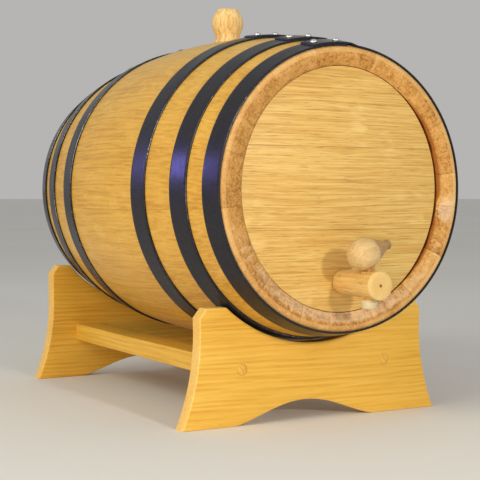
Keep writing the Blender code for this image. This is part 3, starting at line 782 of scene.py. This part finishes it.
def board_outline(cradle_radius, height):
    """Outline of an end board as (x, z): feet, flared sides, horns, cradle and arch."""
    right = [(FOOT_HALF, 0.0)]
    for i in range(1, 25):
        z = WAIST_HEIGHT * i / 24
        flare = (1.0 - z / WAIST_HEIGHT) ** 2.1
        right.append((WAIST_HALF + (FOOT_HALF - WAIST_HALF) * flare, z))
    right.append((WAIST_HALF + 0.4, height - HORN_CHAMFER[1]))
    right.append((WAIST_HALF + 0.4 - HORN_CHAMFER[0], height))
    start = math.acos((AXIS_HEIGHT - height) / cradle_radius)
    for i in range(37):
        a = start * (1.0 - i / 36)
        right.append((cradle_radius * math.sin(a), AXIS_HEIGHT - cradle_radius * math.cos(a)))
    left = [(-x, z) for x, z in reversed(right[:-1])]
    arch = []
    for i in range(49):
        x = ARCH_HALF * (i / 24 - 1.0)
        arch.append((ARCH_SHIFT + x, ARCH_RISE * abs(math.cos(math.pi * x / 2 / ARCH_HALF)) ** 1.4))
    return right + left + arch


def inset(outline, distance):
    points = np.array(outline)
    before = points - np.roll(points, 1, axis=0)
    after = np.roll(points, -1, axis=0) - points
    before /= np.linalg.norm(before, axis=1)[:, None]
    after /= np.linalg.norm(after, axis=1)[:, None]
    x, z = points.T
    side = np.sign((x * np.roll(z, -1) - np.roll(x, -1) * z).sum())
    first = np.stack([-before[:, 1], before[:, 0]], axis=1) * side
    second = np.stack([-after[:, 1], after[:, 0]], axis=1) * side
    reach = np.maximum(0.7, 1.0 + (first * second).sum(axis=1))
    return points + (first + second) / reach[:, None] * distance


def build_board(end):
    face, side = BOARDS[end]
    inner_face = abs(face - side * BOARD_THICK)
    bearing = HOOP_THICK + CRADLE_CLEAR
    cradle = wood_radius(inner_face) + bearing
    height = BOARD_HEIGHT
    if end == "rear":
        front_inner = abs(BOARDS["front"][0]) - BOARD_THICK
        height += REAR_RISE + wood_radius(front_inner) + bearing - cradle
    outline = board_outline(cradle, height)
    ease = ((0.0, 1.5), (0.15, 0.85), (0.5, 0.35), (1.0, 0.08), (1.7, 0.0))
    depths = list(ease) + [(BOARD_THICK - d, i) for d, i in reversed(ease)]
    rings = []
    for depth, distance in depths:
        y = face - side * depth
        rings.append([(x, y, z) for x, z in (inset(outline, distance) if distance else outline)])
    node = "board_" + end
    last = len(depths) - 2

    def strip(i, _):
        return 0 if i in (0, last) else 1

    obj = make("wood_" + node, rings, [BOARD, BOARD_EDGE], strip, sharp=60.0)
    tools = []
    for number, x in enumerate((-RAIL_X, RAIL_X)):
        bore = ((-5.0, PLUG_RADIUS + 0.12), (9.3, PLUG_RADIUS + 0.12), (9.3, 2.3), (20.0, 2.3))
        tools.append(make("tool{}".format(number), turned(bore, 40), [BOARD_EDGE],
                          place=facing(x, face, RAIL_HEIGHT, -side)))
    cut(obj, *tools)
    dress(obj, node, "stand", lambda x, y, z: (z, x, y), origin=FLOOR)
    plug = [(0.12, PLUG_RADIUS - 0.35), (0.3, PLUG_RADIUS - 0.1), (0.6, PLUG_RADIUS), (6.0, PLUG_RADIUS)]
    for word, x in (("left", -RAIL_X), ("right", RAIL_X)):
        name = "plug_{}_{}".format(end, word)
        obj = make("wood_" + name, turned(plug, 40, 0.02, x), [PLUG],
                   place=facing(x, face, RAIL_HEIGHT, -side))
        dress(obj, name, "stand",
              lambda x, y, z: (x * 0.8 + z * 0.6, z * 0.8 - x * 0.6, y), origin=FLOOR)


def build_rail(word, x):
    ease = 1.4
    wide, tall = (half - ease for half in RAIL_HALF)
    section = []
    for sx, sz, start in ((1, 1, 0), (-1, 1, 90), (-1, -1, 180), (1, -1, 270)):
        for i in range(5):
            a = math.radians(start + 90.0 * i / 4)
            section.append((sx * wide + ease * math.cos(a), sz * tall + ease * math.sin(a)))
    front = BOARDS["front"][0] + BOARD_THICK + 0.1
    rear = BOARDS["rear"][0] - BOARD_THICK - 0.1
    rings = []
    for y in np.linspace(front, rear, 24):
        rings.append([(x + a, y, RAIL_HEIGHT + b) for a, b in section])
    obj = make("wood_rail_" + word, rings, [BOARD, BOARD_EDGE], sharp=60.0)
    dress(obj, "rail_" + word, "stand", lambda x, y, z: (z, y, x), origin=FLOOR)


def build_screws():
    for node, obj in frame["nodes"].items():
        if not node.startswith("screw"):
            continue
        points = np.empty(len(obj.data.vertices) * 3)
        obj.data.vertices.foreach_get("co", points)
        obj.data.attributes.new("grain", "FLOAT_VECTOR", "POINT").data.foreach_set("vector", points)
        obj.data.materials.clear()
        obj.data.materials.append(SCREW)


build_staves()
build_head("front", -1.0)
build_head("rear", 1.0)
build_hoops()
build_bung()
build_spigot()
build_board("front")
build_board("rear")
build_rail("left", -RAIL_X)
build_rail("right", RAIL_X)
build_screws()

# ---------------------------------------------------------------- floor, light and camera


def build_floor():
    """A wide pale sheet under the stand's feet."""
    mesh = bpy.data.meshes.new("floor")
    work = bmesh.new()
    bmesh.ops.create_grid(work, x_segments=8, y_segments=8, size=30.0)
    work.to_mesh(mesh)
    work.free()
    material, tree, shader = new_material("floor_pale")
    where = add(tree, "TexCoord").outputs["Object"]
    soft = blob(tree, where, (0.9, 0.9, 0.9), 2.0)
    colour = ramp(tree, soft, ((0.2, (0.74, 0.72, 0.69)), (0.8, (0.80, 0.785, 0.76))))
    tree.links.new(colour, shader.inputs["Base Color"])
    shader.inputs["Roughness"].default_value = 0.85
    mesh.materials.append(material)
    obj = bpy.data.objects.new("floor", mesh)
    bpy.context.scene.collection.objects.link(obj)


def add_light(name, place, target, size, power, colour):
    data = bpy.data.lights.new(name, "AREA")
    data.shape = "RECTANGLE"
    data.size, data.size_y = size
    data.energy = power
    data.color = colour
    obj = bpy.data.objects.new(name, data)
    obj.location = place
    obj.rotation_mode = "QUATERNION"
    obj.rotation_quaternion = (Vector(target) - Vector(place)).to_track_quat("-Z", "Y")
    bpy.context.scene.collection.objects.link(obj)
    return obj


def build_lights():
    world = bpy.data.worlds.new("studio")
    world.use_nodes = True
    back = world.node_tree.nodes["Background"]
    back.inputs["Color"].default_value = (0.97, 0.96, 0.94, 1.0)
    back.inputs["Strength"].default_value = 0.48
    bpy.context.scene.world = world
    aim = (0.0, 0.0, 0.2)
    add_light("key", (0.05, -2.4, 0.78), aim, (0.16, 0.16), 21.0, (1.0, 0.98, 0.93))
    add_light("left", (-2.0, -0.7, 1.3), aim, (1.4, 1.4), 28.0, (0.97, 1.0, 0.88))
    add_light("bounce", (-1.3, -1.1, 0.06), (0.0, 0.0, 0.16), (1.2, 0.3), 9.0, (1.0, 0.5, 0.11))
    # A cool window, which only the hoops' paint reflects.
    window = add_light("window", (-1.75, 1.5, 0.66), aim, (0.6, 0.42), 14.0, (0.26, 0.22, 1.0))
    hoops = bpy.data.collections.new("hoops")
    for obj in bpy.data.objects:
        if obj.name.startswith("steel_hoop"):
            hoops.objects.link(obj)
    window.light_linking.receiver_collection = hoops


def build_camera():
    """Seen from the front left, a little above level."""
    azimuth, elevation, roll = math.radians(-29.726), math.radians(2.221), math.radians(0.189)
    distance, across, up_by = 1.2955, 0.0085, -0.0526
    back = Vector((
        math.sin(azimuth) * math.cos(elevation),
        -math.cos(azimuth) * math.cos(elevation),
        math.sin(elevation),
    ))
    turn = (-back).to_track_quat("-Z", "Y") @ Matrix.Rotation(roll, 3, "Z").to_quaternion()
    right, up = turn @ Vector((1.0, 0.0, 0.0)), turn @ Vector((0.0, 1.0, 0.0))
    data = bpy.data.cameras.new("camera")
    data.lens = 93.49
    data.sensor_width = 36.0
    obj = bpy.data.objects.new("camera", data)
    obj.location = CENTRE + back * distance + right * across + up * up_by
    obj.rotation_mode = "QUATERNION"
    obj.rotation_quaternion = turn
    bpy.context.scene.collection.objects.link(obj)
    bpy.context.scene.camera = obj


build_floor()
build_lights()
build_camera()
bpy.context.scene.view_settings.view_transform = "Standard"
